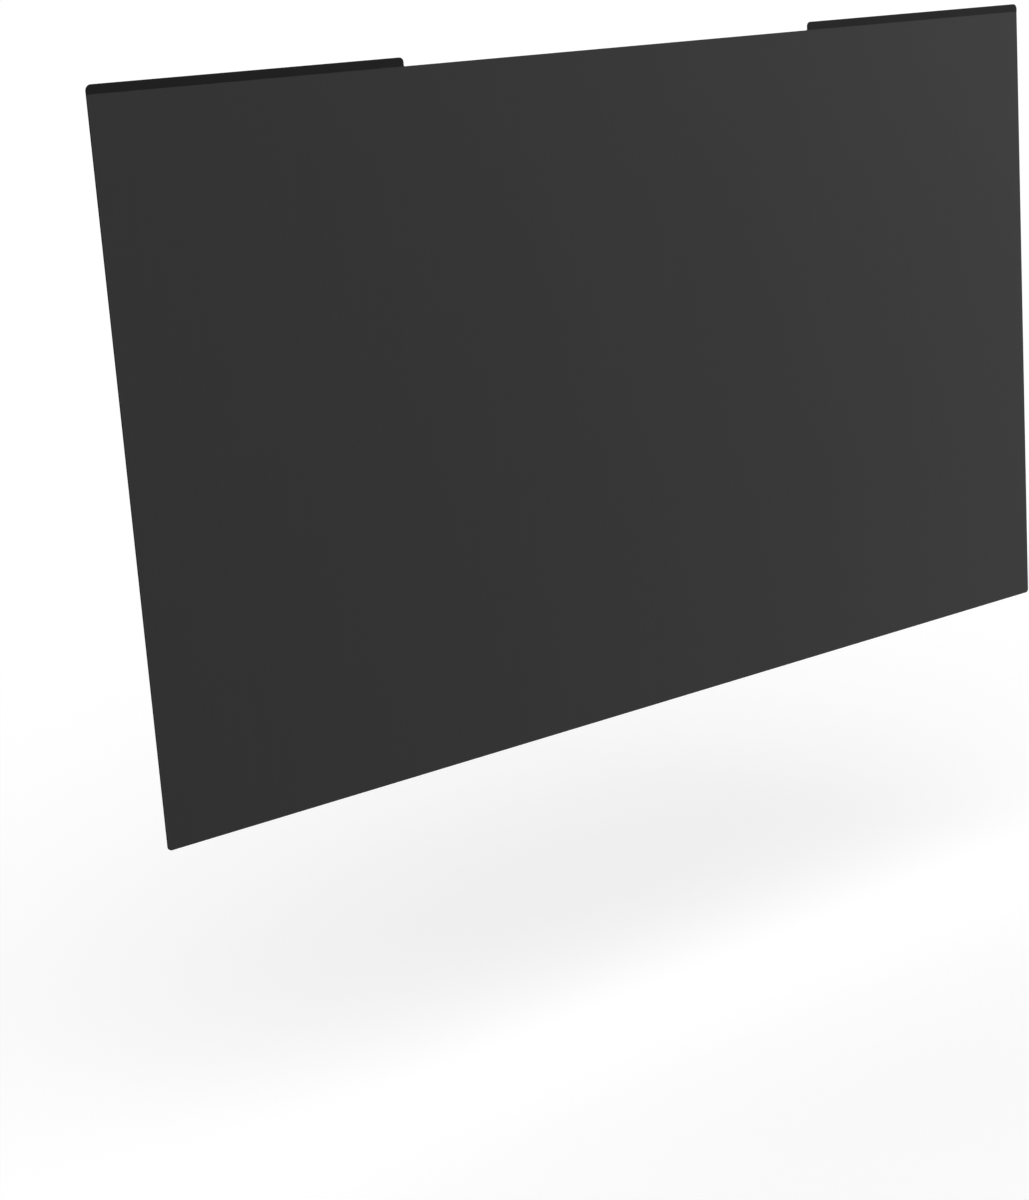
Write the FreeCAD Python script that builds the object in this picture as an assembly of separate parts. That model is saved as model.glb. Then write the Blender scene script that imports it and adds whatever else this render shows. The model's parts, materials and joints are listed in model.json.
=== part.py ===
import FreeCAD, Part
import math
import os

# Monitor privacy filter: a louvre film that hangs by two magnet strips on raised tabs.
# Millimetres, with X to the right as the viewer sees it, Y away from the viewer, and Z up.
# The origin is on the mounting plane, which the backs of both magnets meet, midway across the film
# and halfway up the tabs.

# Film: one laminated sheet, with a tab at each end of its top edge and a webcam gap between them
film_width = 527.0
film_height = 299.8  # from the bottom edge to the edge between the tabs
film_thickness = 0.65
tab_length = 147.0
tab_height = 3.7
tab_outer_radius = 2.5  # corner at the film's side
tab_inner_radius = 2.0  # corner beside the webcam gap
tab_root_radius = 0.5  # inside corner where a tab rises from the edge between them
bottom_corner_radius = 1.7

# Facings: thin black skins over the fronts of the tabs
facing_thickness = 0.1

# Magnets: flexible strips behind the tabs, set back from the tab's outline so that none shows
magnet_thickness = 0.75
magnet_end_inset = 1.0
magnet_side_inset = 0.4
magnet_corner_radius = 1.2
magnet_rim_radius = 0.15  # round on the rim of the mounting face

# Tape: bonds each magnet to its tab, and stops a little short of the magnet's edge
tape_thickness = 0.15
tape_margin = 0.2

# Depths, counted from the mounting plane at Y = 0
magnet_back = 0.0
magnet_front = magnet_back - magnet_thickness
film_back = magnet_front - tape_thickness
film_front = film_back - film_thickness
facing_front = film_front - facing_thickness

# Heights and widths of the film's edges
tab_top = tab_height / 2
gap_edge = tab_top - tab_height
film_bottom = gap_edge - film_height
film_left = -film_width / 2
film_right = film_left + film_width
left_tab_end = film_left + tab_length
right_tab_end = film_right - tab_length

# Roundings, each no larger than the wall that it rounds
inner_rounding = min(tab_inner_radius, tab_height - tab_root_radius, tab_length / 2)
outer_rounding = min(tab_outer_radius, tab_height, tab_length - inner_rounding)
magnet_height = tab_height - 2 * magnet_side_inset
magnet_rounding = min(magnet_corner_radius, magnet_height / 2)
magnet_rim_rounding = min(magnet_rim_radius, magnet_thickness / 2)
tape_rounding = max(magnet_rounding - tape_margin, 0)

shortest_line = 1e-6  # two roundings that meet leave no line between them


def point(place, depth):
    """A place on a plane that faces the viewer, as (X, Z), at its depth."""
    return FreeCAD.Vector(place[0], depth, place[1])


def rounded_wire(corners, depth):
    """A closed outline through corners of (X, Z, radius), each rounded by a tangent arc."""
    sections = []
    for index, (x, z, radius) in enumerate(corners):
        corner = point((x, z), depth)
        before = point(corners[index - 1], depth) - corner
        after = point(corners[(index + 1) % len(corners)], depth) - corner
        before.normalize()
        after.normalize()
        half_angle = before.getAngle(after) / 2
        reach = radius / math.tan(half_angle)
        inward = before + after
        inward.normalize()
        middle = corner + inward * (radius / math.sin(half_angle) - radius)
        sections.append((corner + before * reach, middle, corner + after * reach, radius))
    edges = []
    for index, (start, middle, end, radius) in enumerate(sections):
        if radius > 0:
            edges.append(Part.Arc(start, middle, end).toShape())
        next_start = sections[(index + 1) % len(sections)][0]
        if end.distanceToPoint(next_start) > shortest_line:
            edges.append(Part.LineSegment(end, next_start).toShape())
    return Part.Wire(edges)


def plate(corners, front, back):
    """A flat piece of one rounded outline, from its front depth to its back depth."""
    face = Part.Face(rounded_wire(corners, front))
    return face.extrude(FreeCAD.Vector(0, back - front, 0))


def rectangle(left, right, bottom, top, radius):
    """Corners of an upright rectangle, all rounded alike."""
    return [(left, bottom, radius), (right, bottom, radius), (right, top, radius), (left, top, radius)]


def film():
    """The sheet, whose outline runs round both tabs and along the edge between them."""
    corners = [
        (film_left, film_bottom, bottom_corner_radius),
        (film_right, film_bottom, bottom_corner_radius),
        (film_right, tab_top, outer_rounding),
        (right_tab_end, tab_top, inner_rounding),
        (right_tab_end, gap_edge, tab_root_radius),
        (left_tab_end, gap_edge, tab_root_radius),
        (left_tab_end, tab_top, inner_rounding),
        (film_left, tab_top, outer_rounding),
    ]
    return plate(corners, film_front, film_back)


def facing(left, right, left_rounding, right_rounding):
    """The black skin on one tab: the tab's own outline, cut straight along its foot."""
    corners = [
        (left, gap_edge, 0),
        (right, gap_edge, 0),
        (right, tab_top, right_rounding),
        (left, tab_top, left_rounding),
    ]
    return plate(corners, facing_front, film_front)


def magnet(left, right):
    """One magnet strip, with the rim of its mounting face rounded."""
    corners = rectangle(
        left + magnet_end_inset,
        right - magnet_end_inset,
        gap_edge + magnet_side_inset,
        tab_top - magnet_side_inset,
        magnet_rounding,
    )
    strip = plate(corners, magnet_front, magnet_back)
    mounting_face = max(strip.Faces, key=lambda face: face.CenterOfMass.y)
    return strip.makeFillet(magnet_rim_rounding, mounting_face.Edges)


def tape(left, right):
    """The tape between one tab and its magnet."""
    end_inset = magnet_end_inset + tape_margin
    side_inset = magnet_side_inset + tape_margin
    corners = rectangle(
        left + end_inset,
        right - end_inset,
        gap_edge + side_inset,
        tab_top - side_inset,
        tape_rounding,
    )
    return plate(corners, film_back, magnet_front)


nodes = {"privacy_film": film()}
for side, left, right, left_rounding, right_rounding in (
    ("left", film_left, left_tab_end, outer_rounding, inner_rounding),
    ("right", right_tab_end, film_right, inner_rounding, outer_rounding),
):
    nodes[side + "_strip_facing"] = facing(left, right, left_rounding, right_rounding)
    nodes[side + "_magnet_strip"] = magnet(left, right)
    nodes[side + "_bonding_tape"] = tape(left, right)

os.makedirs("parts", exist_ok=True)
for name, shape in nodes.items():
    shape.exportStep(os.path.join("parts", name + ".step"))
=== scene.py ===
import json
import math

import bpy
from mathutils import Matrix, Vector

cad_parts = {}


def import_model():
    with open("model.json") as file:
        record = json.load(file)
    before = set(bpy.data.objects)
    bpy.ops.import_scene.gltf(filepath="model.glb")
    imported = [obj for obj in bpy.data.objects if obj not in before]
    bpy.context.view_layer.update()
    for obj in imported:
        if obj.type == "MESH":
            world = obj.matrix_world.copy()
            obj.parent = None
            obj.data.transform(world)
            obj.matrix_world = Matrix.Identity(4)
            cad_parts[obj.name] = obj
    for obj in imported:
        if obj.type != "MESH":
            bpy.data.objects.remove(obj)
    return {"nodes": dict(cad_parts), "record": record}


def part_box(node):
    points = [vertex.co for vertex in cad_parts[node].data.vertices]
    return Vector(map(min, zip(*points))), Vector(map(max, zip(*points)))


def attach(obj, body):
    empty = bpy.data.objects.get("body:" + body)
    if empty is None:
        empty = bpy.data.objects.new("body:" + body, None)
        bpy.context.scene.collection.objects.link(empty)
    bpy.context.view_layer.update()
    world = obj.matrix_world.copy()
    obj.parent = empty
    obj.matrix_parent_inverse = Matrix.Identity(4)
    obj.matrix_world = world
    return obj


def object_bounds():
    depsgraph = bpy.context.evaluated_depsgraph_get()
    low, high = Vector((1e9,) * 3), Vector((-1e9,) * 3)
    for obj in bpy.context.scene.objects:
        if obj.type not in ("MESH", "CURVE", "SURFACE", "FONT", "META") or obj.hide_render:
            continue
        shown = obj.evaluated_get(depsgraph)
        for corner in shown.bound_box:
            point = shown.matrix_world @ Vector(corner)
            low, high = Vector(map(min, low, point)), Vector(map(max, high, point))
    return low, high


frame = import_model()
cad_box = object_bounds()

# Lengths are metres in the CAD frame: X to the viewer's right, Y away from the viewer, Z up.
MM = 0.001

# Louvres inside the film: upright black slats that let light through only near straight on
LOUVRE_PITCH = 0.22 * MM
LOUVRE_THICKNESS = 0.03 * MM
LOUVRE_SKIN = 0.10 * MM  # clear skin in front of and behind the slats
LOUVRE_MARGIN = 0.05 * MM  # the slats run this close to the cut edge

# Corner radii of the film's outline, the same as its solid has
TAB_OUTER_CORNER = 2.5 * MM
TAB_INNER_CORNER = 2.0 * MM
BOTTOM_CORNER = 1.7 * MM

# Film surface
FILM_HAZE = 0.91  # share of light that the film's outer face stops
FRONT_ROUGHNESS = 0.44
BACK_ROUGHNESS = 0.32
EDGE_TURN = 0.5  # a face whose normal has less than this along Y is part of the cut edge

# Colours: linear red, green and blue, and an alpha of 1
FILM_DARK = (0.0072, 0.0071, 0.0072, 1.0)
FILM_PALE = (0.0092, 0.0091, 0.0092, 1.0)
CORE_DARK = (0.002, 0.002, 0.002, 1.0)
CORE_PALE = (0.005, 0.005, 0.005, 1.0)
SKIN_DARK = (0.009, 0.009, 0.009, 1.0)
SKIN_PALE = (0.017, 0.017, 0.017, 1.0)
LOUVRE_DARK = (0.004, 0.004, 0.004, 1.0)
LOUVRE_PALE = (0.009, 0.009, 0.009, 1.0)
FACING_DARK = (0.0008, 0.0008, 0.0010, 1.0)
FACING_PALE = (0.0020, 0.0020, 0.0023, 1.0)
MAGNET_DARK = (0.044, 0.038, 0.034, 1.0)
MAGNET_PALE = (0.074, 0.064, 0.057, 1.0)
MAGNET_SPECK = (0.110, 0.098, 0.088, 1.0)
TAPE_DARK = (0.62, 0.60, 0.54, 1.0)
TAPE_PALE = (0.80, 0.79, 0.74, 1.0)
FLOOR_COLOUR = (0.80, 0.80, 0.80, 1.0)
WHITE = (1.0, 1.0, 1.0, 1.0)

# Most of a noise pattern lies between these two values
NOISE_LOW = 0.3
NOISE_HIGH = 0.7

# Camera, from the photograph's perspective
CAMERA_PLACE = (-719.7 * MM, -837.0 * MM, 22.4 * MM)
CAMERA_HEADING = math.radians(37.48)  # from +Y towards +X
CAMERA_DIP = math.radians(13.75)
CAMERA_ROLL = math.radians(-4.08)
CAMERA_LENS = 73.7  # focal length, in the camera's own millimetres
SENSOR = 36.0  # width, in the camera's own millimetres

# Stage
FLOOR_DROP = 150 * MM  # floor below the film's bottom edge
FLOOR_SIZE = 60.0
FLOOR_GLOW = 0.30  # brings the lit floor up to white where it is looked at
AMBIENT = 0.66  # world light on dull surfaces

# Faces of a box whose corners run round its bottom, then round its top
BOX_FACES = ((3, 2, 1, 0), (4, 5, 6, 7), (0, 1, 5, 4), (1, 2, 6, 5), (2, 3, 7, 6), (3, 0, 4, 7))


def fill(tree, node, inputs):
    """Fills a node's inputs by identifier or name. A socket is linked, and any other value is set."""
    by_identifier = {socket.identifier: socket for socket in node.inputs}
    for name, value in inputs.items():
        socket = by_identifier.get(name) or node.inputs[name]
        if isinstance(value, bpy.types.NodeSocket):
            tree.links.new(value, socket)
        else:
            socket.default_value = value


def add(tree, kind, inputs=None, **settings):
    """A new node with its settings and inputs."""
    node = tree.nodes.new(kind)
    for name, value in settings.items():
        setattr(node, name, value)
    fill(tree, node, inputs or {})
    return node


def material(name):
    """A new node material, with its tree and its Principled node."""
    made = bpy.data.materials.new(name)
    made.use_nodes = True
    return made, made.node_tree, made.node_tree.nodes["Principled BSDF"]


def object_place(tree):
    """Places on the object in metres."""
    return add(tree, "ShaderNodeTexCoord").outputs["Object"]


def stretched(tree, place, x, y, z):
    """The places, with each axis multiplied by its own factor."""
    return add(tree, "ShaderNodeMapping", {"Vector": place, "Scale": (x, y, z)}).outputs["Vector"]


def noise(tree, place, grains=1.0, detail=2.0):
    """Noise about 0.5, with that many grains to each unit of place."""
    inputs = {"Vector": place, "Scale": grains, "Detail": detail}
    return add(tree, "ShaderNodeTexNoise", inputs).outputs["Fac"]


def spread(tree, value, low, high, start=NOISE_LOW, end=NOISE_HIGH):
    """The value, taken from the range start to end onto low to high."""
    inputs = {"Value": value, "From Min": start, "From Max": end, "To Min": low, "To Max": high}
    return add(tree, "ShaderNodeMapRange", inputs).outputs["Result"]


def switched(tree, switch, off, on):
    """One number where the switch is 0, and another where it is 1."""
    return spread(tree, switch, off, on, start=0.0, end=1.0)


def math_node(tree, operation, first, second=0.0):
    """One operation on one or two numbers or sockets."""
    inputs = {"Value": first, "Value_001": second}
    return add(tree, "ShaderNodeMath", inputs, operation=operation).outputs["Value"]


def mixed(tree, factor, first, second):
    """Two colours, mixed by a factor."""
    node = add(tree, "ShaderNodeMix", data_type="RGBA")
    fill(tree, node, {"Factor_Float": factor, "A_Color": first, "B_Color": second})
    return next(socket for socket in node.outputs if socket.identifier == "Result_Color")


def shaded(tree, pattern, dark, pale):
    """A colour that goes from dark to pale with a noise pattern."""
    return mixed(tree, spread(tree, pattern, low=0.0, high=1.0), dark, pale)


def bump(tree, height, depth, strength):
    """Surface relief of that depth in metres."""
    inputs = {"Height": height, "Distance": depth, "Strength": strength}
    return add(tree, "ShaderNodeBump", inputs).outputs["Normal"]


def depth_of(tree, vector):
    """A vector's part along Y, from the viewer to the back."""
    return add(tree, "ShaderNodeSeparateXYZ", {"Vector": vector}).outputs["Y"]


def film_material():
    """Charcoal film with a dull front, a smoother back, faint upright streaks and a slight wave."""
    made, tree, shader = material("film")
    place = object_place(tree)
    mottle = noise(tree, place, grains=40.0)
    streaks = noise(tree, stretched(tree, place, x=260.0, y=1.0, z=5.0))
    waves = noise(tree, place, grains=9.0, detail=0.0)
    mottle_half = spread(tree, mottle, low=0.0, high=0.5)
    streak_half = spread(tree, streaks, low=0.0, high=0.5)
    uneven = math_node(tree, "ADD", mottle_half, streak_half)
    turned_back = depth_of(tree, add(tree, "ShaderNodeTexCoord").outputs["Normal"])
    polish = spread(tree, turned_back, FRONT_ROUGHNESS, BACK_ROUGHNESS, start=-1.0, end=1.0)
    dull_spots = spread(tree, mottle, low=-0.02, high=0.02)
    from_inside = add(tree, "ShaderNodeNewGeometry").outputs["Backfacing"]
    fill(tree, shader, {
        "Base Color": mixed(tree, uneven, FILM_DARK, FILM_PALE),
        "Roughness": math_node(tree, "ADD", polish, dull_spots),
        "Normal": bump(tree, waves, depth=0.6 * MM, strength=1.0),
        "IOR": 1.40,
        "Alpha": switched(tree, from_inside, off=FILM_HAZE, on=0.0),
    })
    return made


def film_edge_material():
    """The film's cut edge: a black louvre core between two clear skins, with cutter marks across it."""
    made, tree, shader = material("film_edge")
    place = object_place(tree)
    low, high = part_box("privacy_film")
    from_middle = math_node(tree, "SUBTRACT", depth_of(tree, place), (low[1] + high[1]) / 2)
    core_half = (high[1] - low[1]) / 2 - LOUVRE_SKIN
    in_skin = math_node(tree, "GREATER_THAN", math_node(tree, "ABSOLUTE", from_middle), core_half)
    marks = noise(tree, stretched(tree, place, x=2500.0, y=250.0, z=2500.0))
    core = shaded(tree, marks, CORE_DARK, CORE_PALE)
    skin = shaded(tree, marks, SKIN_DARK, SKIN_PALE)
    fill(tree, shader, {
        "Base Color": mixed(tree, in_skin, core, skin),
        "Roughness": spread(tree, marks, low=0.55, high=0.80),
        "Normal": bump(tree, marks, depth=0.02 * MM, strength=0.5),
        "Specular IOR Level": 0.0,
    })
    return made


def facing_material():
    """Dull black skin with a fine dry grain."""
    made, tree, shader = material("facing")
    place = object_place(tree)
    grain = noise(tree, place, grains=3000.0)
    cloud = noise(tree, place, grains=120.0)
    fill(tree, shader, {
        "Base Color": shaded(tree, cloud, FACING_DARK, FACING_PALE),
        "Roughness": spread(tree, grain, low=0.42, high=0.54),
        "Normal": bump(tree, grain, depth=0.01 * MM, strength=0.2),
        "Specular IOR Level": 0.145,
    })
    return made


def magnet_material():
    """Ferrite rubber, drawn to length: fine lines along X and a brown tinge."""
    made, tree, shader = material("magnet")
    place = object_place(tree)
    lines = noise(tree, stretched(tree, place, x=20.0, y=4000.0, z=4000.0), detail=3.0)
    specks = noise(tree, place, grains=2500.0)
    drawn = shaded(tree, lines, MAGNET_DARK, MAGNET_PALE)
    speck_share = spread(tree, specks, low=0.0, high=0.4, start=0.55, end=0.75)
    fill(tree, shader, {
        "Base Color": mixed(tree, speck_share, drawn, MAGNET_SPECK),
        "Roughness": spread(tree, lines, low=0.5, high=0.68),
        "Normal": bump(tree, lines, depth=0.03 * MM, strength=0.4),
    })
    return made


def tape_material():
    """Milky adhesive tape with short pale fibres."""
    made, tree, shader = material("tape")
    fibres = noise(tree, stretched(tree, object_place(tree), x=400.0, y=2500.0, z=2500.0), detail=3.0)
    fill(tree, shader, {
        "Base Color": shaded(tree, fibres, TAPE_DARK, TAPE_PALE),
        "Roughness": spread(tree, fibres, low=0.35, high=0.55),
    })
    return made


def louvre_material():
    """Carbon black slats, a little uneven along their height."""
    made, tree, shader = material("louvre")
    streaks = noise(tree, stretched(tree, object_place(tree), x=3000.0, y=1.0, z=60.0))
    fill(tree, shader, {
        "Base Color": shaded(tree, streaks, LOUVRE_DARK, LOUVRE_PALE),
        "Roughness": spread(tree, streaks, low=0.6, high=0.8),
        "Specular IOR Level": 0.1,
    })
    return made


def placed(name, data):
    """A new object in the scene."""
    made = bpy.data.objects.new(name, data)
    bpy.context.scene.collection.objects.link(made)
    return made


def mesh_object(name, vertices, faces):
    """A new mesh object in the scene."""
    mesh = bpy.data.meshes.new(name)
    mesh.from_pydata(vertices, [], faces)
    return placed(name, mesh)


def corner_drop(from_side, radius):
    """How far a rounded corner lies inside the straight edge, that far from the side."""
    if from_side >= radius:
        return 0.0
    return radius - math.sqrt(radius ** 2 - (radius - from_side) ** 2)


def louvres(name):
    """The film's slats as one mesh: a row of thin upright boxes that follow the film's outline."""
    low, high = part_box("privacy_film")
    gap_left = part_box("left_strip_facing")[1][0]
    gap_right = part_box("right_strip_facing")[0][0]
    gap_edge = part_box("left_strip_facing")[0][2]
    front = low[1] + LOUVRE_SKIN
    back = high[1] - LOUVRE_SKIN
    half = LOUVRE_THICKNESS / 2
    room = high[0] - low[0] - 2 * (LOUVRE_MARGIN + half)
    count = int(room / LOUVRE_PITCH) + 1
    first = (low[0] + high[0]) / 2 - (count - 1) * LOUVRE_PITCH / 2
    vertices = []
    faces = []
    for index in range(count):
        x = first + index * LOUVRE_PITCH
        from_side = min(x - low[0], high[0] - x) - half
        from_gap = max(gap_left - x, x - gap_right) - half
        bottom = low[2] + LOUVRE_MARGIN + corner_drop(from_side, BOTTOM_CORNER)
        if from_gap < LOUVRE_MARGIN:
            top = gap_edge - LOUVRE_MARGIN
        else:
            drop = max(corner_drop(from_side, TAB_OUTER_CORNER), corner_drop(from_gap, TAB_INNER_CORNER))
            top = high[2] - LOUVRE_MARGIN - drop
        start = len(vertices)
        left = x - half
        right = x + half
        for z in (bottom, top):
            vertices += [(left, front, z), (right, front, z), (right, back, z), (left, back, z)]
        for quad in BOX_FACES:
            faces.append([start + corner for corner in quad])
    return mesh_object(name, vertices, faces)


def dress(node, face, edge=None):
    """Gives a CAD node its finish, and its cut edges another one if that is named."""
    data = frame["nodes"][node].data
    data.materials.clear()
    data.materials.append(face)
    if edge:
        data.materials.append(edge)
        for polygon in data.polygons:
            polygon.material_index = int(abs(polygon.normal.y) < EDGE_TURN)


def camera():
    """The photograph's view."""
    data = bpy.data.cameras.new("camera")
    data.sensor_width = SENSOR
    data.lens = CAMERA_LENS
    level = Matrix.Rotation(-CAMERA_HEADING, 4, "Z") @ Matrix.Rotation(math.pi / 2 - CAMERA_DIP, 4, "X")
    eye = placed("camera", data)
    eye.matrix_world = Matrix.Translation(CAMERA_PLACE) @ level @ Matrix.Rotation(CAMERA_ROLL, 4, "Z")
    bpy.context.scene.camera = eye


def lamp(name, direction, strength, softness):
    """A lamp far off that shines along its direction, with shadows softened by that many degrees."""
    data = bpy.data.lights.new(name, "SUN")
    data.energy = strength
    data.angle = math.radians(softness)
    placed(name, data).rotation_euler = Vector(direction).to_track_quat("-Z", "Y").to_euler()


def looked_at(tree):
    """1 on rays that see the background, straight, mirrored or through clear film, and 0 on others."""
    path = add(tree, "ShaderNodeLightPath").outputs
    mirrored = math_node(tree, "MAXIMUM", path["Is Glossy Ray"], path["Is Transmission Ray"])
    return math_node(tree, "MAXIMUM", path["Is Camera Ray"], mirrored)


def world():
    """White to look at, and a plain soft light on dull surfaces."""
    made = bpy.data.worlds.new("studio")
    made.use_nodes = True
    bpy.context.scene.world = made
    tree = made.node_tree
    fill(tree, tree.nodes["Background"], {
        "Color": WHITE,
        "Strength": switched(tree, looked_at(tree), off=AMBIENT, on=1.0),
    })


def floor():
    """A plain white floor below the hanging filter, which keeps its shadow."""
    height = cad_box[0][2] - FLOOR_DROP
    half = FLOOR_SIZE / 2
    corners = [(-half, -half, height), (half, -half, height), (half, half, height), (-half, half, height)]
    plane = mesh_object("floor", corners, [(0, 1, 2, 3)])
    made, tree, shader = material("floor")
    fill(tree, shader, {
        "Base Color": FLOOR_COLOUR,
        "Roughness": 0.9,
        "Specular IOR Level": 0.0,
        "Emission Color": WHITE,
        "Emission Strength": switched(tree, looked_at(tree), off=0.0, on=FLOOR_GLOW),
    })
    plane.data.materials.append(made)


camera()
world()
floor()
lamp("key", direction=(0.45, 0.65, -0.75), strength=1.0, softness=60.0)
lamp("side", direction=(-0.85, 0.40, -0.15), strength=0.35, softness=40.0)

finishes = {
    "film": (film_material(), film_edge_material()),
    "facing": (facing_material(),),
    "magnet": (magnet_material(),),
    "tape": (tape_material(),),
}
for subpart in frame["record"]["subparts"]:
    dress(subpart["node"], *finishes[subpart["material_slot"]])

slats = louvres("film_louvres")
slats.data.materials.append(louvre_material())
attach(slats, "root")

bpy.context.scene.view_settings.view_transform = "Standard"
